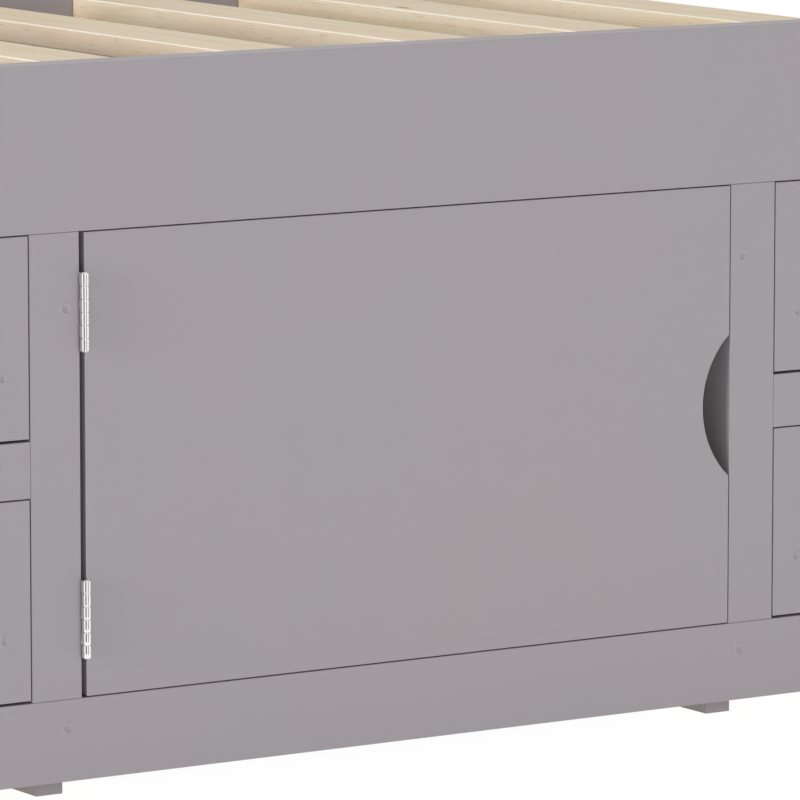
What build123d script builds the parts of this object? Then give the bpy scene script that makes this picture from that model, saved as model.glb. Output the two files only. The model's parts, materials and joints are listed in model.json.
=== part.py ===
from build123d import *
import os

os.makedirs("parts", exist_ok=True)

# A platform storage bed, in millimetres. X runs along the bed, from the head at -X to the
# foot at +X. The storage front faces -Y. Z is up, and the origin is on the floor, under the
# middle of the bed.

# Sleeping platform, for a double mattress of 1350 x 1900
deck_length = 1920.0            # between the end panels
deck_width = 1350.0             # between the side rails
deck_recess = 73.0              # from the side rail's top down to the slats' top
slat_count = 10
slat_width = 80.0
slat_thickness = 21.5
slat_ease = 1.0                 # planed corner of a slat
slat_end_play = 0.5             # between a slat's end and the side rail
bearer_depth = 30.0
centre_beam_width = 60.0

# Front frame, and the boards of the back
frame_thickness = 33.0
side_rail_height = 138.0
opening_height = 389.0          # from the plinth up to the side rail
plinth_height = 69.0
floor_clearance = 17.0          # the plinth hangs this far above the floor
stile_width = 47.0
mid_rail_height = 47.0
cupboard_width = 659.0          # between the two inner stiles, and between the dividers
panel_thickness = 25.5          # end panels and dividers, which stand on the floor
back_panel_thickness = 18.0
edge_ease = 0.35                # small chamfer on every painted board

# Mortise and tenon joints of the front frame
tenon_length = 20.0
tenon_thickness = 12.0
tenon_shoulder = 9.0            # how far the tenon is set in from the board's edges
joint_clearance = 0.2
shoulder_gap = 0.25             # hairline left open at every shoulder

# Cupboard floor and its battens
cupboard_floor_thickness = 15.0
cupboard_floor_play = 0.5
batten_size = 38.0

# Door
door_thickness = 20.0
door_hinge_gap = 5.2            # wide enough for both leaves of the hinges
door_closing_gap = 1.0
door_end_gap = 1.1              # above and below the door
door_hinge_edge = 1.0           # rounding of the edges beside the hinges
finger_chord = 125.0            # half-moon cut-out for the fingers
finger_depth = 28.0

# Butt hinges
hinge_height = 65.0
hinge_leaf_depth = 17.5         # from the pin's axis to the leaf's far edge
hinge_leaf_thickness = 1.5
hinge_knuckle_count = 6
hinge_knuckle_radius = 3.9
hinge_knuckle_gap = 0.2
hinge_sweep_gap = 0.3           # between a leaf and the other leaf's knuckles
hinge_top_distance = 34.0       # from the opening's top down to the upper hinge
hinge_bottom_distance = 34.0    # from the plinth's top up to the lower hinge
hinge_screw_pitch = 22.0
hinge_pin_radius = 2.0
hinge_pin_clearance = 0.05
hinge_pin_head_radius = 2.6
hinge_pin_head_height = 0.4

# Magnetic catch at the top of the closing stile
catch_width = 13.0
catch_depth = 26.0
catch_height = 40.0
catch_ear = 9.0                 # screw ear above and below the body
catch_ear_thickness = 2.5
catch_drop = 45.0               # from the opening's top to the catch's middle
catch_plate_thickness = 1.0
catch_plate_width = 10.0
catch_plate_height = 30.0
catch_gap = 0.2                 # between the plate and the magnet
catch_side_play = 1.0
catch_screw_inset = 6.0         # from the catch's front to its screws

# Drawers
drawer_front_thickness = 20.0
drawer_side_gap = 1.2
drawer_top_gap = 1.2
drawer_bottom_gap = 2.4
drawer_box_length = 600.0
drawer_board_thickness = 18.0
drawer_bottom_thickness = 6.0
drawer_bottom_lift = 10.0       # from the sides' lower edge to the groove
drawer_groove_depth = 6.0
drawer_groove_clearance = 0.2
drawer_box_top_gap = 12.0       # from the opening's top down to the box's top
drawer_screw_level = 0.31       # height of the front's screws, as a share of its height
drawer_back_low_level = 0.35    # heights of the back's screws, as shares of the box's height
drawer_back_high_level = 0.75

# Wooden runners, L-shaped, with a stop at the back
runner_ledge = 18.0             # thickness of the ledge under the drawer's side
runner_ledge_rise = 6.0         # ledge's top above the drawer opening's lower edge
runner_guide_height = 18.0
runner_guide_inset = 16.5       # how far the guide stands into the drawer opening
runner_side_clearance = 0.5
runner_clearance = 0.2          # under the drawer's side
runner_stop_length = 28.0
runner_stop_gap = 0.3
runner_screw_inset = 60.0
runner_screw_count = 3

# Countersunk wood screws: head radius, head height, shank radius and length
frame_screw = (4.7, 3.2, 2.5, 60.0)
drawer_screw = (3.9, 2.6, 2.0, 45.0)
hinge_screw = (3.1, 1.9, 1.6, 16.0)
screw_tip = 5.0
screw_sink = 0.3                # head's top below the wood
hinge_screw_sink = 0.05
screw_clearance = 0.1
recess_arm = 0.62               # half length of the cross recess, as a share of the head's radius
recess_width = 1.1
recess_depth = 1.3
stile_screw_drop = 63.0         # below the opening's top
plinth_screw_drop = 24.0        # below the plinth's top
beam_screw_offset = 12.0
batten_screw_count = 3

# How far a cut runs past the face that it opens
cut_overrun = 1.0

# Planes and levels that follow from the sizes above
front_face = -(deck_width / 2 + frame_thickness)
front_inner = -deck_width / 2
back_inner = deck_width / 2
back_face = deck_width / 2 + frame_thickness
end_inner = deck_length / 2
end_face = deck_length / 2 + panel_thickness
plinth_top = floor_clearance + plinth_height
opening_top = plinth_top + opening_height
rail_top = opening_top + side_rail_height
slat_top = rail_top - deck_recess
slat_bottom = slat_top - slat_thickness
bearer_middle = (opening_top + slat_bottom) / 2
slat_pitch = (deck_length - slat_width) / (slat_count - 1)
cupboard_half = cupboard_width / 2
bay_inner = cupboard_half + stile_width
bay_outer = end_face - stile_width
bay_centre = (bay_inner + bay_outer) / 2
bay_half = (bay_outer - bay_inner) / 2
drawer_opening_height = (opening_height - mid_rail_height) / 2
mid_rail_bottom = plinth_top + drawer_opening_height
mid_rail_top = mid_rail_bottom + mid_rail_height
divider_inner = cupboard_half
divider_outer = divider_inner + panel_thickness
divider_line = (divider_inner + divider_outer) / 2
end_panel_line = end_inner + panel_thickness / 2
frame_middle = (front_face + front_inner) / 2


def block(x, y, z):
    # a box between the two values given for each axis
    middle = Pos(sum(x) / 2, sum(y) / 2, sum(z) / 2)
    return middle * Box(abs(x[1] - x[0]), abs(y[1] - y[0]), abs(z[1] - z[0]))


def board(x, y, z, ease=edge_ease):
    # a planed board with its edges eased
    return chamfer(block(x, y, z).edges(), ease)


def turned(points):
    # a solid of revolution about Z from a half section
    return revolve(make_face(Plane.XZ * Polyline(*points, close=True)), Axis.Z)


def screw_shape(size):
    # head's top on Z = 0, point downwards, with a cross recess
    head, height, shank, length = size
    points = [(0, 0), (head, 0), (shank, -height), (shank, screw_tip - length), (0, -length)]
    arm = 2 * head * recess_arm
    cross = Box(arm, recess_width, 2 * recess_depth) + Box(recess_width, arm, 2 * recess_depth)
    return turned(points) - cross


def screw_room(size, sink):
    # the countersunk hole that the screw sits in, open to the wood's face
    head, height, shank, length = size
    head = head + screw_clearance
    shank = shank + screw_clearance
    end = -(length + 2 * screw_clearance)
    top = sink + cut_overrun
    points = [(0, top), (head, top), (head, -screw_clearance)]
    points += [(shank, -height - screw_clearance), (shank, screw_tip + end), (0, end)]
    return turned(points)


def placed(shape, point, outward, sink):
    # the screw shape or its hole, with its head just under a face at the point
    normal = Vector(*outward)
    origin = Vector(*point) - normal * sink
    return Plane(origin=origin, z_dir=normal).location * shape


def screw_set(size, sink, places):
    # the screws and their holes for a list of (point, outward direction)
    shape = screw_shape(size)
    room = screw_room(size, sink)
    screws = [placed(shape, point, outward, sink) for point, outward in places]
    rooms = [placed(room, point, outward, sink) for point, outward in places]
    return screws, rooms


def boxes_meet(one, other):
    # true where the bounding boxes of two shapes overlap
    a = one.bounding_box()
    b = other.bounding_box()
    along_x = a.min.X < b.max.X and b.min.X < a.max.X
    along_y = a.min.Y < b.max.Y and b.min.Y < a.max.Y
    along_z = a.min.Z < b.max.Z and b.min.Z < a.max.Z
    return along_x and along_y and along_z


def drilled(piece, rooms):
    # the piece with every screw hole that reaches it
    near = [room for room in rooms if boxes_meet(piece, room)]
    return piece.cut(*near) if near else piece


def save(name, *solids):
    # one file per named piece; identical fasteners or a pair share one
    shape = solids[0] if len(solids) == 1 else Compound(children=list(solids))
    export_step(shape, f"parts/{name}.step")


def both_sides(inner, outer, side):
    # the X range of a piece on the left (-1) or the right (+1)
    return sorted((side * inner, side * outer))


# Screws of the frame
end_lines = (-end_panel_line, end_panel_line)
panel_lines = (-end_panel_line, -divider_line, divider_line, end_panel_line)
front = (0, -1, 0)
back = (0, 1, 0)
up = (0, 0, 1)
stile_screw_level = opening_top - stile_screw_drop
plinth_screw_level = plinth_top - plinth_screw_drop
back_panel_face = back_inner + back_panel_thickness
painted_places = []
for x in panel_lines:
    for z in (plinth_screw_level, stile_screw_level):
        painted_places.append(((x, front_face, z), front))
    for z in (plinth_screw_level, (plinth_screw_level + stile_screw_level) / 2, stile_screw_level):
        painted_places.append(((x, back_panel_face, z), back))
for x in end_lines:
    painted_places.append(((x, front_face, bearer_middle), front))
    painted_places.append(((x, back_face, bearer_middle), back))
for side in (-1, 1):
    for y in (-beam_screw_offset, beam_screw_offset):
        painted_places.append(((side * end_face, y, bearer_middle), (side, 0, 0)))
painted_screws, painted_rooms = screw_set(frame_screw, screw_sink, painted_places)

slat_lines = [-end_inner + slat_width / 2 + i * slat_pitch for i in range(slat_count)]
bearer_line = back_inner - bearer_depth / 2
runner_front = front_inner
runner_back = front_face + drawer_front_thickness + drawer_box_length
runner_back = runner_back + runner_stop_gap + runner_stop_length
drawer_floors = (plinth_top, mid_rail_top)
plain_places = []
for x in slat_lines:
    for y in (-bearer_line, 0, bearer_line):
        plain_places.append(((x, y, slat_top), up))
for i in range(0, slat_count - 1, 2):
    x = slat_lines[i] + slat_pitch / 2
    plain_places.append(((x, front_inner + bearer_depth, bearer_middle), back))
    plain_places.append(((x, back_inner - bearer_depth, bearer_middle), front))
for i in range(runner_screw_count):
    share = i / (runner_screw_count - 1)
    run = runner_back - runner_front - 2 * runner_screw_inset
    y = runner_front + runner_screw_inset + share * run
    for floor in drawer_floors:
        z = floor + runner_ledge_rise + runner_guide_height / 2
        for side in (-1, 1):
            plain_places.append(((side * (bay_inner + runner_guide_inset), y, z), (side, 0, 0)))
            plain_places.append(((side * (bay_outer - runner_guide_inset), y, z), (-side, 0, 0)))
batten_top = plinth_top - cupboard_floor_thickness
for i in range(batten_screw_count):
    y = deck_width * ((i + 0.5) / batten_screw_count - 0.5)
    for side in (-1, 1):
        x = side * (divider_inner - batten_size)
        plain_places.append(((x, y, batten_top - batten_size / 2), (-side, 0, 0)))
plain_screws, plain_rooms = screw_set(frame_screw, screw_sink, plain_places)

# Hinge places and screws, and those of the catch
hinge_x = -cupboard_half + door_hinge_gap / 2
hinge_y = front_face - hinge_knuckle_radius
hinge_levels = (
    plinth_top + hinge_bottom_distance + hinge_height / 2,
    opening_top - hinge_top_distance - hinge_height / 2,
)
hinge_screw_y = (front_face + hinge_y + hinge_leaf_depth) / 2
door_left = -cupboard_half + door_hinge_gap
door_right = cupboard_half - door_closing_gap
door_back = front_face + door_thickness
catch_middle = opening_top - catch_drop
catch_front = door_back + catch_plate_thickness + catch_gap
catch_line = cupboard_half - catch_side_play - catch_width / 2
frame_hardware_places = []
door_hardware_places = [((catch_line, door_back + catch_plate_thickness, catch_middle), back)]
for level in hinge_levels:
    for step in (-1, 0, 1):
        z = level + step * hinge_screw_pitch
        leaf = -cupboard_half + hinge_leaf_thickness
        frame_hardware_places.append(((leaf, hinge_screw_y, z), (1, 0, 0)))
        leaf = door_left - hinge_leaf_thickness
        door_hardware_places.append(((leaf, hinge_screw_y, z), (-1, 0, 0)))
for step in (-1, 1):
    z = catch_middle + step * (catch_height + catch_ear) / 2
    ear = cupboard_half - catch_ear_thickness
    frame_hardware_places.append(((ear, catch_front + catch_screw_inset, z), (-1, 0, 0)))
frame_hardware_screws, frame_hardware_rooms = screw_set(
    hinge_screw, hinge_screw_sink, frame_hardware_places
)
door_hardware_screws, door_hardware_rooms = screw_set(
    hinge_screw, hinge_screw_sink, door_hardware_places
)
frame_rooms = painted_rooms + plain_rooms + frame_hardware_rooms


def upright_tenon(x, z, ease=0.0):
    # a stile's tenon across the joint at height z; ease is the mortise's extra room
    half = stile_width / 2 - tenon_shoulder + ease
    deep = tenon_thickness / 2 + ease
    return block((x - half, x + half), (frame_middle - deep, frame_middle + deep), z)


def mid_tenon(x, ease=0.0):
    # a mid rail's tenon over the X range given
    middle = (mid_rail_bottom + mid_rail_top) / 2
    half = mid_rail_height / 2 - tenon_shoulder + ease
    deep = tenon_thickness / 2 + ease
    z = (middle - half, middle + half)
    return block(x, (frame_middle - deep, frame_middle + deep), z)


stile_lines = [
    -(end_face - stile_width / 2),
    -(cupboard_half + stile_width / 2),
    cupboard_half + stile_width / 2,
    end_face - stile_width / 2,
]
mortise_length = tenon_length + joint_clearance


def side_rails():
    # the front one is mortised for the four stiles
    z = (opening_top, rail_top)
    front_rail = board((-end_face, end_face), (front_face, front_inner), z)
    for x in stile_lines:
        mortise = (opening_top, opening_top + mortise_length)
        front_rail = front_rail - upright_tenon(x, mortise, joint_clearance)
    save("front_side_rail", drilled(front_rail, frame_rooms))
    back_rail = board((-end_face, end_face), (back_inner, back_face), z)
    save("back_side_rail", drilled(back_rail, frame_rooms))


def plinth():
    z = (floor_clearance, plinth_top)
    piece = board((-end_face, end_face), (front_face, front_inner), z)
    for x in stile_lines:
        mortise = (plinth_top - mortise_length, plinth_top)
        piece = piece - upright_tenon(x, mortise, joint_clearance)
    save("front_plinth", drilled(piece, frame_rooms))


def stiles():
    names = ("left_end_stile", "hinge_stile", "closing_stile", "right_end_stile")
    half = stile_width / 2
    for name, x in zip(names, stile_lines):
        y = (front_face, front_inner)
        z = (plinth_top + shoulder_gap, opening_top - shoulder_gap)
        piece = board((x - half, x + half), y, z)
        piece = piece + upright_tenon(x, (plinth_top - tenon_length, plinth_top + half))
        piece = piece + upright_tenon(x, (opening_top - half, opening_top + tenon_length))
        for side in (-1, 1):
            inner = both_sides(bay_inner - mortise_length, bay_inner + cut_overrun, side)
            outer = both_sides(bay_outer - cut_overrun, bay_outer + mortise_length, side)
            for mortise in (mid_tenon(inner, joint_clearance), mid_tenon(outer, joint_clearance)):
                if boxes_meet(piece, mortise):
                    piece = piece - mortise
        save(name, drilled(piece, frame_rooms))


def mid_rails():
    for name, side in (("left_mid_rail", -1), ("right_mid_rail", 1)):
        x = both_sides(bay_inner + shoulder_gap, bay_outer - shoulder_gap, side)
        piece = board(x, (front_face, front_inner), (mid_rail_bottom, mid_rail_top))
        tenons = both_sides(bay_inner - tenon_length, bay_outer + tenon_length, side)
        save(name, piece + mid_tenon(tenons))


def panels():
    # end panels and dividers stand on the floor, behind the front frame
    y = (front_inner, back_inner)
    for name, side in (("left", -1), ("right", 1)):
        x = both_sides(end_inner, end_face, side)
        piece = board(x, y, (0, slat_bottom))
        save(f"{name}_end_panel", drilled(piece, frame_rooms))
        x = both_sides(divider_inner, divider_outer, side)
        piece = board(x, y, (0, opening_top))
        save(f"{name}_divider", drilled(piece, frame_rooms))
    x = (-end_face, end_face)
    piece = board(x, (back_inner, back_panel_face), (floor_clearance, opening_top))
    save("back_panel", drilled(piece, frame_rooms))


def slat_supports():
    # two bearers along the rails and a beam down the middle, on top of the dividers
    x = (-end_inner, end_inner)
    z = (opening_top, slat_bottom)
    ranges = {
        "front_slat_bearer": (front_inner, front_inner + bearer_depth),
        "back_slat_bearer": (back_inner - bearer_depth, back_inner),
        "centre_beam": (-centre_beam_width / 2, centre_beam_width / 2),
    }
    for name, y in ranges.items():
        save(name, drilled(board(x, y, z), frame_rooms))


def slats():
    y = (front_inner + slat_end_play, back_inner - slat_end_play)
    for i, x in enumerate(slat_lines):
        edges = (x - slat_width / 2, x + slat_width / 2)
        piece = board(edges, y, (slat_bottom, slat_top), slat_ease)
        save(f"slat_{i + 1:02d}", drilled(piece, plain_rooms))


def cupboard_bottom():
    half = divider_inner - cupboard_floor_play
    y = (front_inner, back_inner)
    save("cupboard_floor", board((-half, half), y, (batten_top, plinth_top)))
    battens = []
    for side in (-1, 1):
        x = both_sides(divider_inner - batten_size, divider_inner, side)
        piece = board(x, y, (batten_top - batten_size, batten_top))
        battens.append(drilled(piece, plain_rooms))
    save("floor_battens", *battens)


def runner(side, floor, towards_end):
    # one L-shaped runner in the bay on the given side, against the divider or the end panel
    wall = end_inner if towards_end else divider_outer
    guide = bay_outer - runner_guide_inset if towards_end else bay_inner + runner_guide_inset
    inward = -1 if towards_end else 1
    lip = guide + inward * (runner_side_clearance + drawer_board_thickness)
    ledge_top = floor + runner_ledge_rise
    ledge_bottom = ledge_top - runner_ledge
    guide_top = ledge_top + runner_guide_height
    points = [(wall, ledge_bottom), (lip, ledge_bottom), (lip, ledge_top)]
    points += [(guide, ledge_top), (guide, guide_top), (wall, guide_top)]
    section = make_face(Polyline(*[(side * x, z) for x, z in points], close=True))
    profile = Plane(origin=(0, runner_back, 0), x_dir=(1, 0, 0), z_dir=(0, -1, 0)) * section
    length = runner_back - runner_front
    piece = extrude(profile, length, dir=(0, -1, 0))
    x = sorted((side * lip, side * guide))
    y = (runner_back - runner_stop_length, runner_back)
    stop = block(x, y, (ledge_bottom, guide_top))
    return drilled(piece + stop, plain_rooms)


def drawer_runners():
    pieces = []
    for side in (-1, 1):
        for floor in drawer_floors:
            pieces.append(runner(side, floor, False))
            pieces.append(runner(side, floor, True))
    save("drawer_runners", *pieces)


def half_moon():
    # the disc that cuts a finger cut-out: its rim reaches below Y = 0 by the depth
    radius = ((finger_chord / 2) ** 2 + finger_depth**2) / (2 * finger_depth)
    return Pos(0, radius - finger_depth) * Circle(radius)


def door():
    bottom = plinth_top + door_end_gap
    top = opening_top - door_end_gap
    width = door_right - door_left
    height = top - bottom
    slab = Rectangle(width, height)
    cutter = Pos(width / 2, 0) * Rot(0, 0, -90) * half_moon()
    middle = ((door_left + door_right) / 2, front_face, (bottom + top) / 2)
    place = Plane(origin=middle, x_dir=(1, 0, 0), z_dir=(0, -1, 0))
    piece = extrude(place * (slab - cutter), door_thickness, dir=(0, 1, 0))
    beside_hinges = piece.edges().filter_by(Axis.Z).group_by(Axis.X)[0]
    piece = fillet(beside_hinges, door_hinge_edge)
    faces = piece.faces().filter_by(Axis.Y)
    outlines = faces[0].edges() + faces[1].edges() + piece.edges().filter_by(Axis.Z).group_by(Axis.X)[-1]
    piece = chamfer(outlines, edge_ease)
    save("cupboard_door", drilled(piece, door_hardware_rooms))


def hinge_leaf(level, toward):
    # toward is -1 for the leaf on the stile and +1 for the leaf on the door
    bottom = level - hinge_height / 2
    row = hinge_height / hinge_knuckle_count
    own = 0 if toward < 0 else 1
    face = door_hinge_gap / 2
    x = sorted((hinge_x + toward * face, hinge_x + toward * (face - hinge_leaf_thickness)))
    leaf = block(x, (hinge_y, hinge_y + hinge_leaf_depth), (bottom, bottom + hinge_height))
    for i in range(hinge_knuckle_count):
        middle = Pos(hinge_x, hinge_y, bottom + (i + 0.5) * row)
        if i % 2 == own:
            leaf = leaf + middle * Cylinder(hinge_knuckle_radius, row - hinge_knuckle_gap)
        else:
            sweep = hinge_knuckle_radius + hinge_sweep_gap
            leaf = leaf - middle * Cylinder(sweep, row + hinge_knuckle_gap)
    bore = Cylinder(hinge_pin_radius + hinge_pin_clearance, hinge_height + 2 * cut_overrun)
    return leaf - Pos(hinge_x, hinge_y, level) * bore


def hinge_pin(level):
    middle = Pos(hinge_x, hinge_y, level)
    pin = Cylinder(hinge_pin_radius, hinge_height + 2 * hinge_knuckle_gap)
    reach = (hinge_height + hinge_pin_head_height) / 2 + hinge_knuckle_gap
    head = Cylinder(hinge_pin_head_radius, hinge_pin_head_height)
    return middle * (pin + Pos(0, 0, reach) * head + Pos(0, 0, -reach) * head)


def hinges():
    for name, toward, rooms in (
        ("hinge_frame_leaves", -1, frame_hardware_rooms),
        ("hinge_door_leaves", 1, door_hardware_rooms),
    ):
        save(name, *[drilled(hinge_leaf(level, toward), rooms) for level in hinge_levels])
    save("hinge_pins", *[hinge_pin(level) for level in hinge_levels])


def catch():
    # the magnet's case on the closing stile's edge, and the steel plate on the door's back
    x = (cupboard_half - catch_width, cupboard_half)
    y = (catch_front, catch_front + catch_depth)
    half = catch_height / 2
    case = board(x, y, (catch_middle - half, catch_middle + half))
    x = (cupboard_half - catch_ear_thickness, cupboard_half)
    reach = half + catch_ear
    ears = block(x, y, (catch_middle - reach, catch_middle + reach))
    save("magnetic_catch", drilled(case + ears, frame_hardware_rooms))
    x = (catch_line - catch_plate_width / 2, catch_line + catch_plate_width / 2)
    y = (door_back, door_back + catch_plate_thickness)
    half = catch_plate_height / 2
    plate = block(x, y, (catch_middle - half, catch_middle + half))
    save("catch_plate", drilled(plate, door_hardware_rooms))


def drawer(name, side, floor):
    # front, two sides, back and bottom of one drawer, and the screws that hold them
    centre = side * bay_centre
    front_half = bay_half - drawer_side_gap
    front_bottom = floor + drawer_bottom_gap
    front_top = floor + drawer_opening_height - drawer_top_gap
    front_back = front_face + drawer_front_thickness
    box_half = bay_half - runner_guide_inset - runner_side_clearance
    inner_half = box_half - drawer_board_thickness
    box_bottom = floor + runner_ledge_rise + runner_clearance
    box_top = floor + drawer_opening_height - drawer_box_top_gap
    box_back = front_back + drawer_box_length
    back_front = box_back - drawer_board_thickness
    groove_bottom = box_bottom + drawer_bottom_lift
    groove_top = groove_bottom + drawer_bottom_thickness + drawer_groove_clearance
    side_line = box_half - drawer_board_thickness / 2

    level = front_bottom + drawer_screw_level * (front_top - front_bottom)
    places = []
    for hand in (-1, 1):
        places.append(((centre + hand * side_line, front_face, level), front))
        for share in (drawer_back_low_level, drawer_back_high_level):
            z = box_bottom + share * (box_top - box_bottom)
            x = centre + hand * box_half
            places.append(((x, back_front + drawer_board_thickness / 2, z), (hand, 0, 0)))
    screws, rooms = screw_set(drawer_screw, screw_sink, places)

    reach = inner_half + drawer_groove_depth
    groove = block(
        (centre - reach, centre + reach),
        (front_back - drawer_groove_depth, box_back + cut_overrun),
        (groove_bottom, groove_top),
    )
    height = front_top - front_bottom
    slab = Rectangle(2 * front_half, height) - Pos(0, height / 2) * half_moon()
    middle = (centre, front_face, (front_bottom + front_top) / 2)
    place = Plane(origin=middle, x_dir=(1, 0, 0), z_dir=(0, -1, 0))
    piece = extrude(place * slab, drawer_front_thickness, dir=(0, 1, 0))
    piece = chamfer(piece.edges(), edge_ease) - groove
    save(f"{name}_front", drilled(piece, rooms))

    sides = []
    for hand in (-1, 1):
        x = sorted((centre + hand * inner_half, centre + hand * box_half))
        piece = board(x, (front_back, box_back), (box_bottom, box_top))
        sides.append(drilled(piece - groove, rooms))
    save(f"{name}_sides", *sides)

    x = (centre - inner_half, centre + inner_half)
    piece = board(x, (back_front, box_back), (groove_top, box_top))
    save(f"{name}_back", drilled(piece, rooms))

    edge = reach - drawer_groove_clearance
    bottom = block(
        (centre - edge, centre + edge),
        (front_back - drawer_groove_depth + drawer_groove_clearance, box_back),
        (groove_bottom, groove_bottom + drawer_bottom_thickness),
    )
    save(f"{name}_bottom", bottom)
    save(f"{name}_screws", *screws)


side_rails()
plinth()
stiles()
mid_rails()
panels()
slat_supports()
slats()
cupboard_bottom()
drawer_runners()
door()
hinges()
catch()
for height, floor in (("lower", plinth_top), ("upper", mid_rail_top)):
    for hand, side in (("left", -1), ("right", 1)):
        drawer(f"{height}_{hand}_drawer", side, floor)
save("frame_screws_painted", *painted_screws)
save("frame_screws_plain", *plain_screws)
save("hinge_frame_screws", *frame_hardware_screws)
save("hinge_door_screws", *door_hardware_screws)
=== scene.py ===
import json
import math
import bmesh
import bpy
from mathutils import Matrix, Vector


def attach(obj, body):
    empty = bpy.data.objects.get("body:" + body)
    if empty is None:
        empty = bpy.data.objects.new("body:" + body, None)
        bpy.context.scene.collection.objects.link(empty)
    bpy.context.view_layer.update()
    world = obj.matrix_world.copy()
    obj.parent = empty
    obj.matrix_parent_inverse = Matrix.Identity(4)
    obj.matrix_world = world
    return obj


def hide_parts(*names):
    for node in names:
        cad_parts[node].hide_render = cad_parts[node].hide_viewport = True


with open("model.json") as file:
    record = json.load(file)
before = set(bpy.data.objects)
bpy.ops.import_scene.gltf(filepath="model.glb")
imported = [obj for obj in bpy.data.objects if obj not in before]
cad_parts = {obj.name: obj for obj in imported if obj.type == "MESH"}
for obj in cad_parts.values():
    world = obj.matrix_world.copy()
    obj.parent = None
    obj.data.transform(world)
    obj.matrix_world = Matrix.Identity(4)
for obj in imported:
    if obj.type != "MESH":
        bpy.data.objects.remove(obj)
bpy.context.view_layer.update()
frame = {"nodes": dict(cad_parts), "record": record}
nodes = frame["nodes"]
scene = bpy.context.scene
drawerNames = ("upper_left_drawer", "lower_left_drawer", "upper_right_drawer", "lower_right_drawer")
slatNames = [f"slat_{i:02d}" for i in range(1, 11)]
mm = 0.001


def colour(hexCode):
    # an sRGB hex value as the linear colour that the shaders take
    parts = [int(hexCode[i:i + 2], 16) / 255 for i in (1, 3, 5)]
    linear = [c / 12.92 if c <= 0.04045 else ((c + 0.055) / 1.055) ** 2.4 for c in parts]
    return (*linear, 1.0)


def addNode(tree, kind, inputs=None, **settings):
    # one node, its settings, and for each input a value or the output that feeds it
    node = tree.nodes.new(kind)
    for name, value in settings.items():
        setattr(node, name, value)
    for key, value in (inputs or {}).items():
        if isinstance(value, bpy.types.NodeSocket):
            tree.links.new(value, node.inputs[key])
        else:
            node.inputs[key].default_value = value
    return node


def newMaterial(name):
    material = bpy.data.materials.new(name)
    material.use_nodes = True
    material.node_tree.nodes.clear()
    return material, material.node_tree


def boxOf(points):
    # the low and high corners of the box round some points
    low = Vector([min(point[i] for point in points) for i in range(3)])
    high = Vector([max(point[i] for point in points) for i in range(3)])
    return low, high


def extent(name):
    # the low and high corners of a node's mesh
    return boxOf([vertex.co for vertex in nodes[name].data.vertices])


def bodyOf(name):
    return next(body for body, names in frame["record"]["behaviour"]["bodies"].items() if name in names)


# The camera, solved from the three vanishing points of the photograph
photoView = {
    "place": (-3.0891, -5.4410, 1.1024),
    "turnToFoot": 33.0,
    "tiltDown": 7.98,
    "lens": 302.18,
    "sensor": 36.0,
    "near": 0.1,
    "far": 100.0,
}


def placeCamera(view):
    data = bpy.data.cameras.new("photoCamera")
    data.lens = view["lens"]
    data.sensor_width = view["sensor"]
    data.clip_start = view["near"]
    data.clip_end = view["far"]
    camera = bpy.data.objects.new("photoCamera", data)
    camera.location = view["place"]
    camera.rotation_euler = (math.radians(90 - view["tiltDown"]), 0, -math.radians(view["turnToFoot"]))
    scene.collection.objects.link(camera)
    scene.camera = camera


placeCamera(photoView)
print("camera placed")

# A white room: even light from all round, a white floor that glows a little, and four large
# soft lamps, beyond the head, in front, beyond the foot and overhead. The camera and mirrors
# see the room and the floor as plain white. The flags are dark cards, each given by the turns
# of its two edges about the hinges, in degrees.
studio = {
    "skyStrength": 0.20,
    "floorSize": 40.0,
    "floorColour": "#F4F4F4",
    "whiteShare": 0.88,
    "whiteStrength": 1.09,
    "glow": 0.48,
    "aim": (0.0, 0.0, 0.35),
    "lampSize": 3.0,
    "lamps": {
        "headLamp": {"place": (-7.5, -0.8, 1.3), "power": 520.0},
        "frontLamp": {"place": (0.3, -8.0, 2.6), "power": 178.0},
        "footLamp": {"place": (7.5, 0.6, 2.4), "power": 200.0},
        "topLamp": {"place": (-0.5, 0.0, 4.5), "power": 56.0},
    },
    "flagHinge": (-0.327, -0.712),
    "flagDistance": 0.5,
    "flagHeight": 0.6,
    "flagGrey": 0.0,
    "flags": {"cameraFlag": (217.0, 242.0), "frontFlag": (283.0, 297.0)},
}
white = (1, 1, 1, 1)


def seenBy(tree, *rays):
    # 1 for the named kinds of ray, 0 for all others
    path = addNode(tree, "ShaderNodeLightPath").outputs
    seen = path[rays[0]]
    for ray in rays[1:]:
        seen = addNode(tree, "ShaderNodeMath", {0: seen, 1: path[ray]}, operation="MAXIMUM").outputs[0]
    return seen


def mixShaders(tree, share, first, second):
    return addNode(tree, "ShaderNodeMixShader", {0: share, 1: first, 2: second}).outputs[0]


def emission(tree, strength):
    return addNode(tree, "ShaderNodeEmission", {"Color": white, "Strength": strength}).outputs[0]


def stageCard(name, corners, material):
    # one flat four-cornered piece of the studio
    mesh = bpy.data.meshes.new(name)
    mesh.from_pydata(corners, [], [(0, 1, 2, 3)])
    mesh.materials.append(material)
    card = bpy.data.objects.new(name, mesh)
    scene.collection.objects.link(card)
    return card


def whiteRoom(room):
    world = bpy.data.worlds.new("whiteRoom")
    scene.world = world
    world.use_nodes = True
    tree = world.node_tree
    tree.nodes.clear()
    seen = seenBy(tree, "Is Camera Ray", "Is Glossy Ray", "Is Transmission Ray")
    sky, bright = [addNode(tree, "ShaderNodeBackground", {"Color": white, "Strength": room[key]}).outputs[0]
                   for key in ("skyStrength", "whiteStrength")]
    addNode(tree, "ShaderNodeOutputWorld", {"Surface": mixShaders(tree, seen, sky, bright)})


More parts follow.
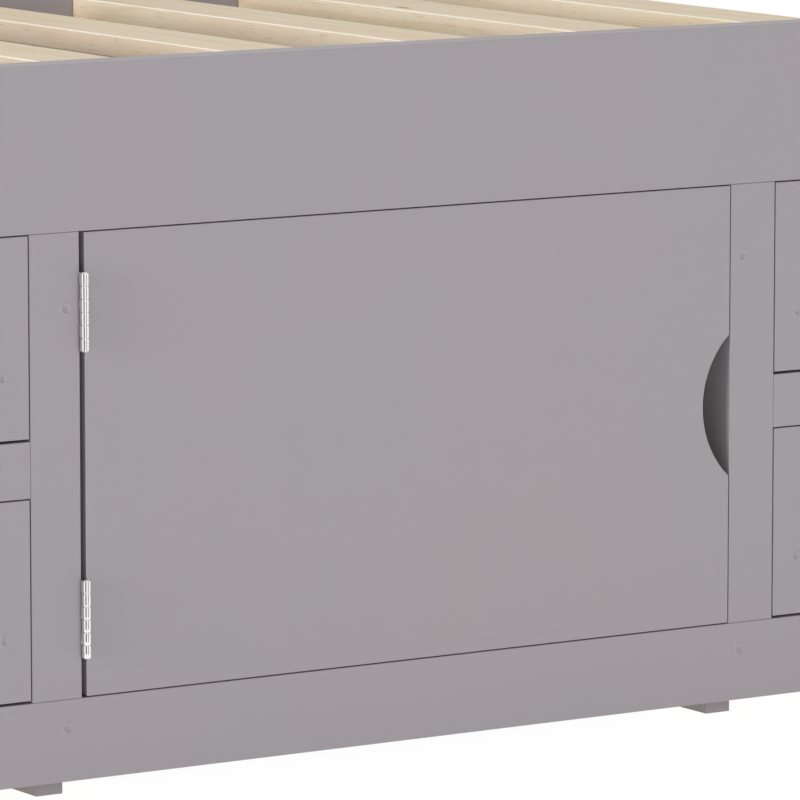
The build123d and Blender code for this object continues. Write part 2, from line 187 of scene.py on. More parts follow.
def whiteFloor(room):
    paper, tree = newMaterial("whitePaper")
    seen = seenBy(tree, "Is Camera Ray", "Is Glossy Ray")
    matt = addNode(tree, "ShaderNodeBsdfDiffuse", {"Color": colour(room["floorColour"])}).outputs[0]
    lit = addNode(tree, "ShaderNodeAddShader", {0: matt, 1: emission(tree, room["glow"])}).outputs[0]
    bright = mixShaders(tree, room["whiteShare"], matt, emission(tree, room["whiteStrength"]))
    addNode(tree, "ShaderNodeOutputMaterial", {"Surface": mixShaders(tree, seen, lit, bright)})
    half = room["floorSize"] / 2
    stageCard("studioFloor", [(-half, -half, 0), (half, -half, 0), (half, half, 0), (-half, half, 0)], paper)


def lampsOf(room):
    for name, lamp in room["lamps"].items():
        light = bpy.data.lights.new(name, "AREA")
        light.energy = lamp["power"]
        light.size = room["lampSize"]
        box = bpy.data.objects.new(name, light)
        box.location = lamp["place"]
        toBed = Vector(room["aim"]) - box.location
        box.rotation_euler = toBed.to_track_quat("-Z", "Y").to_euler()
        box.visible_camera = False
        box.visible_glossy = False
        scene.collection.objects.link(box)


def hangFlags(room):
    # dark cards that only mirrors see: they put the dark stripes into the bright hinges
    dark, tree = newMaterial("darkFlag")
    addNode(tree, "ShaderNodeOutputMaterial", {"Surface": emission(tree, room["flagGrey"])})
    for name, turns in room["flags"].items():
        feet = [Vector(room["flagHinge"]) + room["flagDistance"] * Vector((math.cos(turn), math.sin(turn)))
                for turn in map(math.radians, turns)]
        top = room["flagHeight"]
        flag = stageCard(name, [(*feet[0], 0), (*feet[1], 0), (*feet[1], top), (*feet[0], top)], dark)
        flag.visible_camera = False
        flag.visible_diffuse = False
        flag.visible_shadow = False
        flag.visible_transmission = False


scene.view_settings.view_transform = "Standard"
whiteRoom(studio)
whiteFloor(studio)
lampsOf(studio)
hangFlags(studio)
print("room lit")


def noise(tree, where, scale, detail, **more):
    return addNode(tree, "ShaderNodeTexNoise", {"Vector": where, "Scale": scale, "Detail": detail,
                                                **more}).outputs[0]


def stretched(tree, where, along, width, length):
    # coordinates in which a cell of noise is as wide and as long as given, long along one axis
    scale = [1 / width] * 3
    scale["XYZ".index(along)] = 1 / length
    return addNode(tree, "ShaderNodeMapping", {"Vector": where, "Scale": scale}).outputs[0]


def ramp(tree, value, low, high, start=0.0, end=1.0):
    # low where the value is start, high where it is end
    return addNode(tree, "ShaderNodeMapRange", {"Value": value, "From Min": start, "From Max": end,
                                                "To Min": low, "To Max": high}).outputs[0]


def mixColours(tree, share, first, second):
    return addNode(tree, "ShaderNodeMix", {0: share, 6: first, 7: second}, data_type="RGBA").outputs[2]


def relief(tree, height, strength, depth):
    return addNode(tree, "ShaderNodeBump", {"Strength": strength, "Distance": depth,
                                            "Height": height}).outputs[0]


def surface(tree, inputs):
    shader = addNode(tree, "ShaderNodeBsdfPrincipled", inputs)
    addNode(tree, "ShaderNodeOutputMaterial", {"Surface": shader.outputs[0]})


# Eggshell paint, sprayed on planed pine and on MDF: an even warm grey with a soft sheen that
# hides the board's colour. Its skin shows faint orange peel, and on pine the grain stands
# through as long low ripples. Real peel is about 1 mm and 5 microns deep; it is drawn 2.5 mm
# wide so that it shows.
paintFinish = {
    "grey": "#A39C9F",
    "greyCool": "#9F9B9F",
    "cloud": 240 * mm,
    "peel": 2.5 * mm,
    "grainWidth": 2.2 * mm,
    "grainLength": 90 * mm,
    "grainShare": 1.6,
    "reliefStrength": 0.25,
    "reliefDepth": 0.05 * mm,
    "roughness": 0.52,
    "sheenSpread": 0.04,
    "refraction": 1.48,
    "specular": 0.22,
}


def eggshellPaint(name, grainAlong, look=paintFinish):
    # grainAlong is X, Y or Z for pine, and None for a panel without grain
    material, tree = newMaterial(name)
    where = addNode(tree, "ShaderNodeTexCoord").outputs["Object"]
    cloud = noise(tree, where, 1 / look["cloud"], 3.0)
    height = noise(tree, where, 1 / look["peel"], 2.0)
    if grainAlong:
        fibres = stretched(tree, where, grainAlong, look["grainWidth"], look["grainLength"])
        grain = noise(tree, fibres, 1.0, 4.0, Roughness=0.55)
        height = addNode(tree, "ShaderNodeMath", {0: grain, 1: look["grainShare"], 2: height},
                         operation="MULTIPLY_ADD").outputs[0]
    surface(tree, {
        "Base Color": mixColours(tree, cloud, colour(look["greyCool"]), colour(look["grey"])),
        "Roughness": ramp(tree, cloud, look["roughness"] - look["sheenSpread"],
                          look["roughness"] + look["sheenSpread"]),
        "Normal": relief(tree, height, look["reliefStrength"], look["reliefDepth"]),
        "IOR": look["refraction"],
        "Specular IOR Level": look["specular"],
    })
    return material


# Planed Scots pine, left bare: pale yellow earlywood with warmer latewood lines that run along
# the board, a pinkish cast in places, a few small knots, and fine dark resin dashes. Rings are
# 2 to 5 mm apart on the face. Sizes in pairs are the width and the length of a cell of noise;
# each edge is the span of noise over which a layer comes in, and most is how far it does.
pineLook = {
    "pale": "#F1E2C8",
    "line": "#E4D1B0",
    "pink": "#EED7BF",
    "dash": "#AE9878",
    "knot": "#8E6C4C",
    "bend": (60 * mm, 700 * mm),
    "bendTurns": 5.0,
    "ring": 3.2 * mm,
    "ringLength": 260 * mm,
    "ringDistortion": 0.4,
    "lateEdge": (0.1, 1.0),
    "lateMost": 0.6,
    "pinkPatch": (45 * mm, 260 * mm),
    "pinkEdge": (0.45, 0.70),
    "pinkMost": 0.7,
    "dashSize": (0.8 * mm, 26 * mm),
    "dashEdge": (0.62, 0.78),
    "dashMost": 0.8,
    "knotSpacing": (90 * mm, 330 * mm),
    "knotEdge": (0.045, 0.075),
    "knotMost": 0.85,
    "boardShift": (3.0, 5.0, 2.0),
    "reliefStrength": 0.3,
    "reliefDepth": 0.08 * mm,
    "roughness": 0.62,
    "sheenSpread": 0.06,
    "refraction": 1.50,
    "specular": 0.15,
}

# The slats' eased edges are drawn paler than their faces, as a painted highlight: the thin bright
# lines of light that those edges catch
arrisHighlightLook = dict(pineLook, pale="#FFF9EC", line="#FBF1DE", pink="#FDF2E4", dash="#E6D6BC")
arrisHighlightSlope = (0.3, 0.9)


def ownTree(tree, where, boards, shift):
    # coordinates moved by chance from board to board, so that each gets its own piece of tree
    first, pitch = boards
    along = addNode(tree, "ShaderNodeSeparateXYZ", {0: where}).outputs[0]
    share = addNode(tree, "ShaderNodeMath", {0: along, 1: -first}, operation="ADD").outputs[0]
    share = addNode(tree, "ShaderNodeMath", {0: share, 1: pitch}, operation="DIVIDE").outputs[0]
    index = addNode(tree, "ShaderNodeMath", {0: share}, operation="ROUND").outputs[0]
    chance = addNode(tree, "ShaderNodeTexWhiteNoise", {"W": index}, noise_dimensions="1D").outputs["Color"]
    move = addNode(tree, "ShaderNodeVectorMath", {0: chance, 1: shift}, operation="MULTIPLY").outputs[0]
    return addNode(tree, "ShaderNodeVectorMath", {0: where, 1: move}, operation="ADD").outputs[0]


def planedPine(name, along, boards=None, look=pineLook):
    # boards is the middle of the first board along X and the distance to the next
    material, tree = newMaterial(name)
    where = addNode(tree, "ShaderNodeTexCoord").outputs["Object"]
    if boards:
        where = ownTree(tree, where, boards, look["boardShift"])

    def layer(base, share, tint):
        return mixColours(tree, share, base, colour(look[tint]))

    bend = noise(tree, stretched(tree, where, along, *look["bend"]), 1.0, 2.0)
    rings = noise(tree, stretched(tree, where, along, look["ring"] * 2, look["ringLength"]), 1.0, 3.0,
                  Roughness=0.6, Distortion=look["ringDistortion"])
    swirl = addNode(tree, "ShaderNodeMath", {0: bend, 1: look["bendTurns"], 2: rings},
                    operation="MULTIPLY_ADD").outputs[0]
    wave = addNode(tree, "ShaderNodeMath", {0: swirl, 1: 2 * math.pi}, operation="MULTIPLY").outputs[0]
    wave = addNode(tree, "ShaderNodeMath", {0: wave}, operation="SINE").outputs[0]
    late = ramp(tree, wave, 0.0, look["lateMost"], *look["lateEdge"])
    base = layer(colour(look["pale"]), late, "line")
    patch = noise(tree, stretched(tree, where, along, *look["pinkPatch"]), 1.0, 2.0)
    base = layer(base, ramp(tree, patch, 0.0, look["pinkMost"], *look["pinkEdge"]), "pink")
    fleck = noise(tree, stretched(tree, where, along, *look["dashSize"]), 1.0, 2.0)
    base = layer(base, ramp(tree, fleck, 0.0, look["dashMost"], *look["dashEdge"]), "dash")
    spots = addNode(tree, "ShaderNodeTexVoronoi", {
        "Vector": stretched(tree, where, along, *look["knotSpacing"]), "Scale": 1.0}).outputs["Distance"]
    base = layer(base, ramp(tree, spots, look["knotMost"], 0.0, *look["knotEdge"]), "knot")
    surface(tree, {
        "Base Color": base,
        "Roughness": ramp(tree, late, look["roughness"] + look["sheenSpread"],
                          look["roughness"] - look["sheenSpread"]),
        "Normal": relief(tree, late, look["reliefStrength"], look["reliefDepth"]),
        "IOR": look["refraction"],
        "Specular IOR Level": look["specular"],
    })
    return material


# Bright nickel plating on pressed steel: a clean mirror, softened a little by the polishing,
# which leaves fine scratches round the barrel. The scratches are given in cells per metre.
nickelLook = {
    "tint": "#F0EFEE",
    "scratches": (700, 700, 6000),
    "roughness": (0.03, 0.07),
    "reliefStrength": 0.1,
    "reliefDepth": 0.01 * mm,
}


def nickelPlate(look=nickelLook):
    material, tree = newMaterial("brightNickelPlate")
    where = addNode(tree, "ShaderNodeTexCoord").outputs["Object"]
    scratches = addNode(tree, "ShaderNodeMapping", {"Vector": where, "Scale": look["scratches"]}).outputs[0]
    polish = noise(tree, scratches, 1.0, 2.0)
    surface(tree, {
        "Base Color": colour(look["tint"]),
        "Metallic": 1.0,
        "Roughness": ramp(tree, polish, *look["roughness"]),
        "Normal": relief(tree, polish, look["reliefStrength"], look["reliefDepth"]),
    })
    return material


# Bright zinc plating on steel screws and on the catch's plate: a bluish grey, matter than
# nickel, mottled where the passivation is uneven. The mottle is in cells per metre.
zincLook = {"blue": "#C2C6CC", "yellow": "#D6D4C8", "mottle": 600.0, "roughness": (0.24, 0.42)}


def zincPlate(look=zincLook):
    material, tree = newMaterial("brightZincPlate")
    where = addNode(tree, "ShaderNodeTexCoord").outputs["Object"]
    mottle = noise(tree, where, look["mottle"], 3.0)
    surface(tree, {
        "Base Color": mixColours(tree, mottle, colour(look["blue"]), colour(look["yellow"])),
        "Metallic": 1.0,
        "Roughness": ramp(tree, mottle, *look["roughness"]),
    })
    return material


# Moulded ABS of the catch's case: warm white, with a fine spark-eroded grain, in cells per metre
plasticLook = {
    "dark": "#E2E0DA",
    "light": "#E9E7E2",
    "grain": 1600.0,
    "reliefStrength": 0.3,
    "reliefDepth": 0.02 * mm,
    "roughness": 0.42,
    "refraction": 1.53,
}


def mouldedPlastic(look=plasticLook):
    material, tree = newMaterial("mouldedWhiteABS")
    where = addNode(tree, "ShaderNodeTexCoord").outputs["Object"]
    grain = noise(tree, where, look["grain"], 2.0)
    surface(tree, {
        "Base Color": mixColours(tree, grain, colour(look["dark"]), colour(look["light"])),
        "Roughness": look["roughness"],
        "Normal": relief(tree, grain, look["reliefStrength"], look["reliefDepth"]),
        "IOR": look["refraction"],
    })
    return material


def slatGrid():
    # the middle of the first slat along X, and the distance from slat to slat
    first, last = [sum(end.x for end in extent(name)) / 2 for name in (slatNames[0], slatNames[-1])]
    return first, (last - first) / (len(slatNames) - 1)


paintAlongX = eggshellPaint("eggshellPaintOnPineX", "X")
paintAlongZ = eggshellPaint("eggshellPaintOnPineZ", "Z")
paintFlat = eggshellPaint("eggshellPaintOnMDF", None)
slatPine = planedPine("planedPineSlats", "Y", slatGrid())
# paler pine for the painted highlight on the slats' eased edges
arrisHighlightPine = planedPine("planedPineArrisHighlight", "Y", slatGrid(), arrisHighlightLook)
framePine = planedPine("planedPineFrame", "X")
runnerPine = planedPine("planedPineRunners", "Y")
nickel = nickelPlate()
zinc = zincPlate()
plastic = mouldedPlastic()

finishes = {
    paintAlongX: ["front_side_rail", "back_side_rail", "front_plinth", "left_mid_rail", "right_mid_rail"],
    paintAlongZ: ["left_end_stile", "hinge_stile", "closing_stile", "right_end_stile"],
    paintFlat: ["left_end_panel", "right_end_panel", "left_divider", "right_divider", "back_panel",
                "cupboard_floor", "cupboard_door", "frame_screws_painted"],
    slatPine: slatNames,
    framePine: ["front_slat_bearer", "back_slat_bearer", "centre_beam"],
    runnerPine: ["floor_battens", "drawer_runners"],
    nickel: ["hinge_frame_leaves", "hinge_door_leaves", "hinge_pins"],
    zinc: ["hinge_frame_screws", "hinge_door_screws", "frame_screws_plain", "catch_plate"],
    plastic: ["magnetic_catch"],
}
for drawer in drawerNames:
    finishes[paintFlat] += [f"{drawer}_front", f"{drawer}_screws"]
    finishes[runnerPine] += [f"{drawer}_sides", f"{drawer}_bottom"]
    finishes[framePine] += [f"{drawer}_back"]
for material, names in finishes.items():
    for name in names:
        nodes[name].data.materials.clear()
        nodes[name].data.materials.append(material)
# each slat's eased edges, found by their slope, take the paler pine of the painted highlight
for name in slatNames:
    slat = nodes[name].data
    slat.materials.append(arrisHighlightPine)
    for polygon in slat.polygons:
        polygon.material_index = int(arrisHighlightSlope[0] < abs(polygon.normal.z) < arrisHighlightSlope[1])
print("finishes given to", sum(len(names) for names in finishes.values()), "nodes of", len(nodes))


def looseSolids(name):
    # the corners of each separate solid in a node, from a merged copy of its mesh, always in
    # the order of the mesh, so that each run gives the same screw the same turn
    shape = bmesh.new()
    shape.from_mesh(nodes[name].data)
    bmesh.ops.remove_doubles(shape, verts=shape.verts, dist=0.001 * mm)
    left = set(shape.verts)
    solids = []
    for first in shape.verts:
        if first not in left:
            continue
        left.remove(first)
        found = [first]
        for vertex in found:
            near = {edge.other_vert(vertex) for edge in vertex.link_edges} & left
            left -= near
            found += near
        solids.append([vertex.co.copy() for vertex in found])
    shape.free()
    return solids


def screwSeats(name):
    # for each screw of a node, the middle of its head's face and the way it looks out: the
    # head is at the end that is wider
    seats = []
    for corners in looseSolids(name):
        low, high = boxOf(corners)
        axis = max(range(3), key=lambda i: high[i] - low[i])
        middle = (low + high) / 2
        ends = []
        for level, sign in ((low[axis], -1), (high[axis], 1)):
            ring = [corner for corner in corners if abs(corner[axis] - level) < 0.1 * mm]
            centre = middle.copy()
            centre[axis] = level
            ends.append((max((corner - centre).length for corner in ring), centre, sign))
        width, centre, sign = max(ends, key=lambda end: end[0])
        outward = Vector((0, 0, 0))
        outward[axis] = sign
        seats.append((centre, outward))
    return seats


def screwSizes(name):
    # the head's radius and the length of a node's screws, which are all alike
    low, high = boxOf(looseSolids(name)[0])
    sizes = sorted(high[i] - low[i] for i in range(3))
    return sizes[0] / 2, sizes[2]


def finishMesh(shape, name, smoothAngle=35):
    # the mesh, with all its faces outward and its edges smooth below an angle in degrees
    bmesh.ops.recalc_face_normals(shape, faces=shape.faces)
    if shape.calc_volume(signed=True) < 0:
        bmesh.ops.reverse_faces(shape, faces=shape.faces)
    for face in shape.faces:
        face.smooth = True
    for edge in shape.edges:
        edge.smooth = len(edge.link_faces) == 2 and edge.calc_face_angle() < math.radians(smoothAngle)
    mesh = bpy.data.meshes.new(name)
    shape.to_mesh(mesh)
    shape.free()
    return mesh


def circle(x, y, radius, sides):
    angles = [2 * math.pi * i / sides for i in range(sides)]
    return [(x + radius * math.cos(a), y + radius * math.sin(a)) for a in angles]


def joinRings(shape, before, ring):
    # faces between two rings; where a ring is one vertex repeated they are triangles
    for i in range(len(ring)):
        shape.faces.new(list(dict.fromkeys((before[i - 1], before[i], ring[i], ring[i - 1]))))


def addRing(shape, before, radius, level, sides):
    # a ring round Z, or for a radius of 0 a point on Z, joined to the ring before it
    if radius:
        ring = [shape.verts.new((x, y, level)) for x, y in circle(0, 0, radius, sides)]
    else:
        ring = [shape.verts.new((0, 0, level))] * sides
    joinRings(shape, before, ring)
    return ring


def turn(shape, outline, sides):
    # a tube-like surface turned about Z from a closed loop of (radius, height) points
    rows = [[shape.verts.new((x, y, height)) for x, y in circle(0, 0, radius, sides)]
            for radius, height in outline]
    for upper, lower in zip(rows, rows[1:] + rows[:1]):
        joinRings(shape, upper, lower)


def plate(shape, outline, holes, low, high):
    # a flat plate with holes, from loops of (x, y) points, between two heights
    loops = []
    edges = []
    for points in [outline, *holes]:
        loop = [shape.verts.new((x, y, low)) for x, y in points]
        edges += [shape.edges.new((loop[i - 1], loop[i])) for i in range(len(loop))]
        loops.append(loop)
    bmesh.ops.triangle_fill(shape, edges=edges, use_beauty=True)
    above = {vertex: shape.verts.new((vertex.co.x, vertex.co.y, high)) for vertex in list(shape.verts)}
    for face in list(shape.faces):
        shape.faces.new([above[vertex] for vertex in face.verts])
    for loop in loops:
        joinRings(shape, loop, [above[vertex] for vertex in loop])


def roundedBlock(shape, low, high, radius, steps=3):
    made = bmesh.ops.create_cube(shape, size=1.0)
    size = Vector(high) - Vector(low)
    bmesh.ops.scale(shape, verts=made["verts"], vec=size)
    bmesh.ops.translate(shape, verts=made["verts"], vec=(Vector(low) + Vector(high)) / 2)
    edges = list({edge for vertex in made["verts"] for edge in vertex.link_edges})
    bmesh.ops.bevel(shape, geom=edges, offset=radius, segments=steps, profile=0.5, affect="EDGES")


# What repeats stands on points: each point carries the direction in which its copy looks
def spreadTree():
    tree = bpy.data.node_groups.new("spreadOnPoints", "GeometryNodeTree")
    tree.is_modifier = True
    for name, kind in (("Points", "Geometry"), ("Shape", "Object"), ("Finish", "Material"),
                       ("Most Turn", "Float"), ("Seed", "Int")):
        tree.interface.new_socket(name, in_out="INPUT", socket_type="NodeSocket" + kind)
    tree.interface.new_socket("Pieces", in_out="OUTPUT", socket_type="NodeSocketGeometry")
    given = addNode(tree, "NodeGroupInput").outputs
    shape = addNode(tree, "GeometryNodeObjectInfo", {"Object": given["Shape"]})
    chance = addNode(tree, "FunctionNodeRandomValue", {2: 0.0, 3: given["Most Turn"], "Seed": given["Seed"]},
                     data_type="FLOAT")
    spin = addNode(tree, "FunctionNodeAxisAngleToRotation", {"Axis": (0, 0, 1), "Angle": chance.outputs[1]})
    outward = addNode(tree, "GeometryNodeInputNamedAttribute", {"Name": "outward"}, data_type="FLOAT_VECTOR")
    stand = addNode(tree, "FunctionNodeAlignRotationToVector", {"Rotation": spin.outputs[0],
                                                                "Vector": outward.outputs[0]}, axis="Z")
    copies = addNode(tree, "GeometryNodeInstanceOnPoints", {
        "Points": given["Points"], "Instance": shape.outputs["Geometry"], "Rotation": stand.outputs[0]})
    real = addNode(tree, "GeometryNodeRealizeInstances", {0: copies.outputs[0]})
    finished = addNode(tree, "GeometryNodeSetMaterial", {"Geometry": real.outputs[0],
                                                         "Material": given["Finish"]})
    addNode(tree, "NodeGroupOutput", {0: finished.outputs[0]})
    return tree


spreader = spreadTree()


def placeMesh(name, mesh):
    piece = bpy.data.objects.new(name, mesh)
    scene.collection.objects.link(piece)
    return piece


def spread(name, shapeMesh, seats, finish, mostTurn=0.0, seed=7):
    # one object with a copy of the shape on every seat, a list of (place, outward direction)
    points = bpy.data.meshes.new(name + "Points")
    points.from_pydata([place for place, outward in seats], [], [])
    ways = points.attributes.new("outward", "FLOAT_VECTOR", "POINT")
    for slot, (place, outward) in zip(ways.data, seats):
        slot.vector = outward
    source = placeMesh(name + "Points", points)
    pattern = placeMesh(name + "Shape", shapeMesh)
    modifier = source.modifiers.new("spread", "NODES")
    modifier.node_group = spreader
    values = {"Shape": pattern, "Finish": finish, "Most Turn": mostTurn, "Seed": seed}
    for item in spreader.interface.items_tree:
        if item.name in values:
            modifier[item.identifier] = values[item.name]
    source.update_tag()
    graph = bpy.context.evaluated_depsgraph_get()
    graph.update()
    mesh = bpy.data.meshes.new_from_object(source.evaluated_get(graph))
    mesh.name = name
    bpy.data.objects.remove(source)
    bpy.data.objects.remove(pattern)
    return placeMesh(name, mesh)


# Countersunk wood screw with a cross recess. Its radius and length are those of the node that
# it replaces; the other sizes are shares of the head's radius, apart from the point's length.
screwLook = {
    "sides": 20,
    "rim": 0.06,
    "recessArm": 0.62,
    "recessWidth": 0.15,
    "recessDepth": 0.36,
    "recessFoot": 0.35,
    "neck": 0.70,
    "shank": 0.52,
    "point": 5 * mm,
    "seed": 5,
}


def woodScrew(name, node, look=screwLook):
    radius, length = screwSizes(node)
    sides = look["sides"]
    shank, rim = radius * look["shank"], radius * look["rim"]
    arm, half = radius * look["recessArm"], radius * look["recessWidth"]
    cross = []
    for i in range(4):
        spin = math.pi / 2 * i
        for x, y in ((arm, -half), (arm, half), (half, half)):
            cross.append((x * math.cos(spin) - y * math.sin(spin), x * math.sin(spin) + y * math.cos(spin)))
    foot = [(x * look["recessFoot"], y * look["recessFoot"]) for x, y in cross]
    edge = circle(0, 0, radius * (1 - look["rim"]), sides)
    shape = bmesh.new()
    loops = []
    for loop, level in ((edge, 0), (cross, 0), (foot, -radius * look["recessDepth"])):
        loops.append([shape.verts.new((x, y, level)) for x, y in loop])
    edges = [shape.edges.new((loop[i - 1], loop[i])) for loop in loops[:2] for i in range(len(loop))]
    bmesh.ops.triangle_fill(shape, edges=edges, use_beauty=True)
    joinRings(shape, loops[1], loops[2])
    shape.faces.new(loops[2])
    below = loops[0]
    for reach, level in ((radius, -rim), (radius, -rim * 2), (shank, -radius * look["neck"]),
                         (shank, look["point"] - length), (0, -length)):
        below = addRing(shape, below, reach, level, sides)
    return finishMesh(shape, name)


# A painted-over screw: the paint stands round the head as a low ring, sinks into a dish inside
# it, and almost fills the cross recess. The ring lies on the board, the rest in the screw's
# hole. Places and widths are shares of the head's radius. Sink is how far the head's face lies
# below the board's; skirt and under keep the underside a little below the faces it would meet.
paintLook = {
    "sides": 36,
    "smoothAngle": 60,
    "sink": 0.3 * mm,
    "ring": 0.40 * mm,
    "ringPlace": 0.98,
    "ringWidth": 0.15,
    "dish": 0.60 * mm,
    "dishPlace": 0.72,
    "dishEdge": 0.07,
    "cross": 0.35 * mm,
    "crossWidth": 0.16,
    "crossReach": 0.55,
    "rings": [0.12, 0.24, 0.36, 0.46, 0.54, 0.62, 0.70, 0.78, 0.85, 0.92, 0.98, 1.04, 1.11, 1.18, 1.26, 1.34],
    "skirt": 0.001 * mm,
    "under": 0.05 * mm,
    "neck": 0.68,
    "shank": 0.52,
    "point": 5 * mm,
    "seed": 3,
}


def paintedHead(name, node, look=paintLook):
    radius, length = screwSizes(node)
    sides = look["sides"]

    def skin(x, y):
        # height of the paint over the board's face, x and y as shares of the head's radius
        far = math.hypot(x, y)
        dish = 1 / (1 + math.exp((far - look["dishPlace"]) / look["dishEdge"]))
        ring = math.exp(-((far - look["ringPlace"]) / look["ringWidth"]) ** 2)
        arms = math.exp(-(min(abs(x), abs(y)) / look["crossWidth"]) ** 2)
        arms *= math.exp(-(far / look["crossReach"]) ** 4)
        return look["ring"] * ring - look["dish"] * dish - look["cross"] * arms

    shape = bmesh.new()
    below = [shape.verts.new((0, 0, skin(0, 0)))] * sides
    for share in look["rings"]:
        ring = [shape.verts.new((x * radius, y * radius, skin(x, y))) for x, y in circle(0, 0, share, sides)]
        joinRings(shape, below, ring)
        below = ring
    face = -look["sink"] - look["under"]
    for share, level in ((look["rings"][-1], -look["skirt"]), (1.0, -look["under"] * 2), (1.0, face),
                         (look["shank"], -look["sink"] - look["neck"] * radius),
                         (look["shank"], look["point"] - length), (0, -length)):
        below = addRing(shape, below, share * radius, level, sides)
    return finishMesh(shape, name, look["smoothAngle"])


def faceSeats(name, look=paintLook):
    # on the board's face at the front; elsewhere lower, so that the ring stays inside the part
    seats = []
    for place, outward in screwSeats(name):
        rise = look["sink"] if outward.y < -0.5 else look["sink"] - look["ring"]
        seats.append((place + outward * rise, outward))
    return seats


for node in ["frame_screws_painted"] + [f"{drawer}_screws" for drawer in drawerNames]:
    head = paintedHead(node + "_shape", node)
    piece = spread(node + "_painted", head, faceSeats(node), paintFlat, math.pi / 2, paintLook["seed"])
    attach(piece, bodyOf(node))
    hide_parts(node)
for node in ("frame_screws_plain", "hinge_frame_screws", "hinge_door_screws"):
    screw = woodScrew(node + "_shape", node)
    piece = spread(node + "_zinc", screw, screwSeats(node), zinc, math.pi / 2, screwLook["seed"])
    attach(piece, bodyOf(node))
    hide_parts(node)
print("screws made")

# Butt hinges: rolled knuckles with eased ends, and leaves with rounded corners and three holes.
# The pin's axis and the leaf's sizes are read from the nodes.
hingeLook = {
    "sides": 48,
    "rows": 6,
    "gap": 0.2 * mm,
    "bore": 2.05 * mm,
    "ease": 0.45 * mm,
    "easeSteps": 4,
    "barrelSmooth": 50,
    "thickness": 1.5 * mm,
    "sweep": 0.3 * mm,
    "corner": 2.0 * mm,
    "cornerSteps": 6,
    "hole": 3.2 * mm,
    "holeSides": 24,
    "leafSmooth": 40,
}


def knuckle(name, radius, length, look=hingeLook):
    half, ease, bore = length / 2, look["ease"], look["bore"]
    outline = [(bore, half - ease / 2), (bore + ease / 2, half)]
    for i in range(look["easeSteps"] + 1):
        a = math.pi / 2 * i / look["easeSteps"]
        outline.append((radius - ease + ease * math.sin(a), half - ease + ease * math.cos(a)))
    outline += [(r, -z) for r, z in reversed(outline)]
    shape = bmesh.new()
    turn(shape, outline, look["sides"])
    return finishMesh(shape, name, look["barrelSmooth"])


def hingeLeaf(name, toward, radius, height, depth, face, pitch, screwDepth, look=hingeLook):
    # the flat part, drawn as (depth from the axis, height), then stood on edge beside the gap
    row, start = height / look["rows"], radius + look["sweep"]
    own = 0 if toward < 0 else 1
    bottom = -height / 2
    outline = []
    for i in range(look["rows"]):
        near = 0 if i % 2 == own else start
        outline += [(near, bottom + i * row), (near, bottom + (i + 1) * row)]
    corner, steps = look["corner"], look["cornerSteps"]
    for y, first in ((-bottom - corner, 90), (bottom + corner, 0)):
        for step in range(steps + 1):
            a = math.radians(first - 90 / steps * step)
            outline.append((depth - corner + corner * math.cos(a), y + corner * math.sin(a)))
    holes = [circle(screwDepth, step * pitch, look["hole"], look["holeSides"]) for step in (-1, 0, 1)]
    shape = bmesh.new()
    plate(shape, outline, holes, 0, look["thickness"])
    side = face - look["thickness"] if toward > 0 else -face
    for vertex in shape.verts:
        along, up, out = vertex.co
        vertex.co = (side + out, along, up)
    return finishMesh(shape, name, look["leafSmooth"])


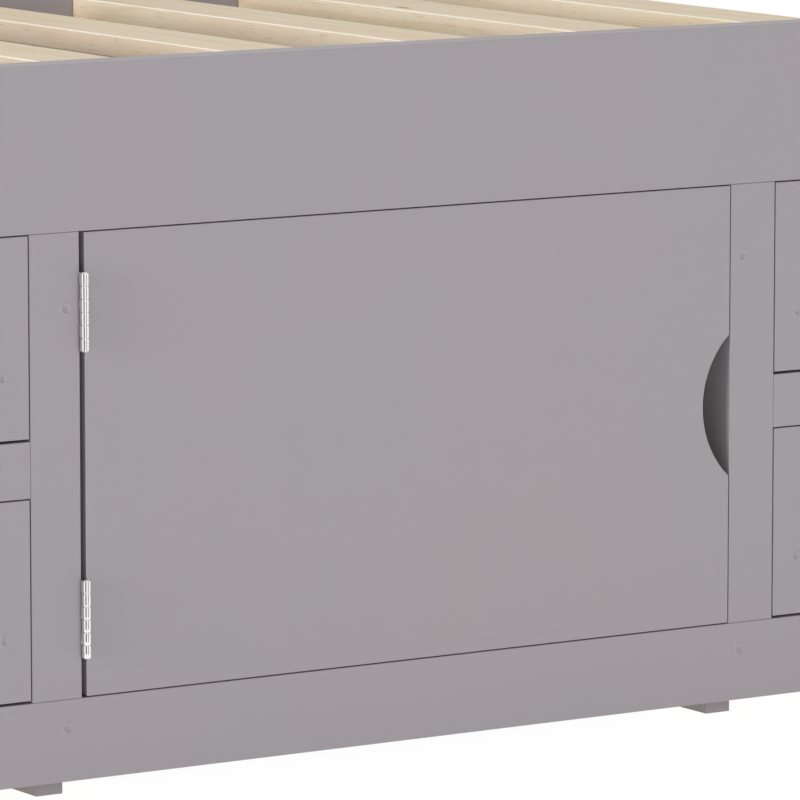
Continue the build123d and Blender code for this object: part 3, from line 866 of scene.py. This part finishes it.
def makeHinges(look=hingeLook):
    axes = []
    for corners in looseSolids("hinge_pins"):
        low, high = boxOf(corners)
        axes.append((low + high) / 2)
    low, high = extent("hinge_frame_leaves")
    radius = axes[0].y - low.y
    depth = high.y - axes[0].y
    leafCorners = looseSolids("hinge_frame_leaves")[0]
    height = max(c.z for c in leafCorners) - min(c.z for c in leafCorners)
    face = (extent("cupboard_door")[0].x - extent("hinge_stile")[1].x) / 2
    row = height / look["rows"]
    seats = [place for place, outward in screwSeats("hinge_door_screws") if outward.x < -0.5]
    levels = sorted(place.z for place in seats)
    pitch = levels[1] - levels[0]
    ring = knuckle("knuckle", radius, row - look["gap"])
    up = Vector((0, 0, 1))
    for node, toward in (("hinge_frame_leaves", -1), ("hinge_door_leaves", 1)):
        own = 0 if toward < 0 else 1
        places = [(axis + Vector((0, 0, (i + 0.5) * row - height / 2)), up)
                  for axis in axes for i in range(own, look["rows"], 2)]
        barrel = spread(node + "_knuckles", ring, places, nickel)
        leaf = hingeLeaf(node + "_plate_shape", toward, radius, height, depth, face, pitch,
                         seats[0].y - axes[0].y)
        leaves = spread(node + "_plates", leaf, [(axis, up) for axis in axes], nickel)
        for piece in (barrel, leaves):
            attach(piece, bodyOf(node))
        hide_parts(node)
        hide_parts(node)
    return len(axes)


print("hinges made:", makeHinges())

# Magnetic catch: a rounded plastic case with screw ears, and two steel pole strips at its front
catchLook = {
    "recess": 0.6 * mm,
    "ease": 1.2 * mm,
    "ear": 2.5 * mm,
    "earReach": 9 * mm,
    "strip": 1.2 * mm,
    "stripInset": 2.4 * mm,
    "stripEnd": 3 * mm,
    "stripDepth": 8 * mm,
    "stripEase": 0.2 * mm,
    "stripSteps": 2,
}


def makeCatch(look=catchLook):
    low, high = extent("magnetic_catch")
    face, bottom, top = low.y + look["recess"], low.z + look["earReach"], high.z - look["earReach"]
    shape = bmesh.new()
    roundedBlock(shape, (low.x, face, bottom), (high.x, high.y, top), look["ease"])
    case = finishMesh(shape, "catchCase")

    shape = bmesh.new()
    seats = [place for place, outward in screwSeats("hinge_frame_screws") if outward.x < -0.5]
    outline = [(low.z, face), (high.z, face), (high.z, high.y), (low.z, high.y)]
    holes = [circle(place.z, place.y, hingeLook["hole"], hingeLook["holeSides"])
             for place in seats if place.z > low.z and place.x > 0]
    plate(shape, outline, holes, 0, look["ear"])
    for vertex in shape.verts:
        z, y, out = vertex.co
        vertex.co = (high.x - out, y, z)
    ears = finishMesh(shape, "catchEars")

    shape = bmesh.new()
    for x in (low.x + look["stripInset"], high.x - look["stripInset"] - look["strip"]):
        roundedBlock(shape, (x, low.y, bottom + look["stripEnd"]),
                     (x + look["strip"], low.y + look["stripDepth"], top - look["stripEnd"]),
                     look["stripEase"], look["stripSteps"])
    strips = finishMesh(shape, "catchStrips")
    for name, mesh, finish in (("catch_case", case, plastic), ("catch_ears", ears, plastic),
                               ("catch_strips", strips, zinc)):
        mesh.materials.append(finish)
        piece = placeMesh(name, mesh)
        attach(piece, bodyOf("magnetic_catch"))
        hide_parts("magnetic_catch")


makeCatch()
print("catch made")
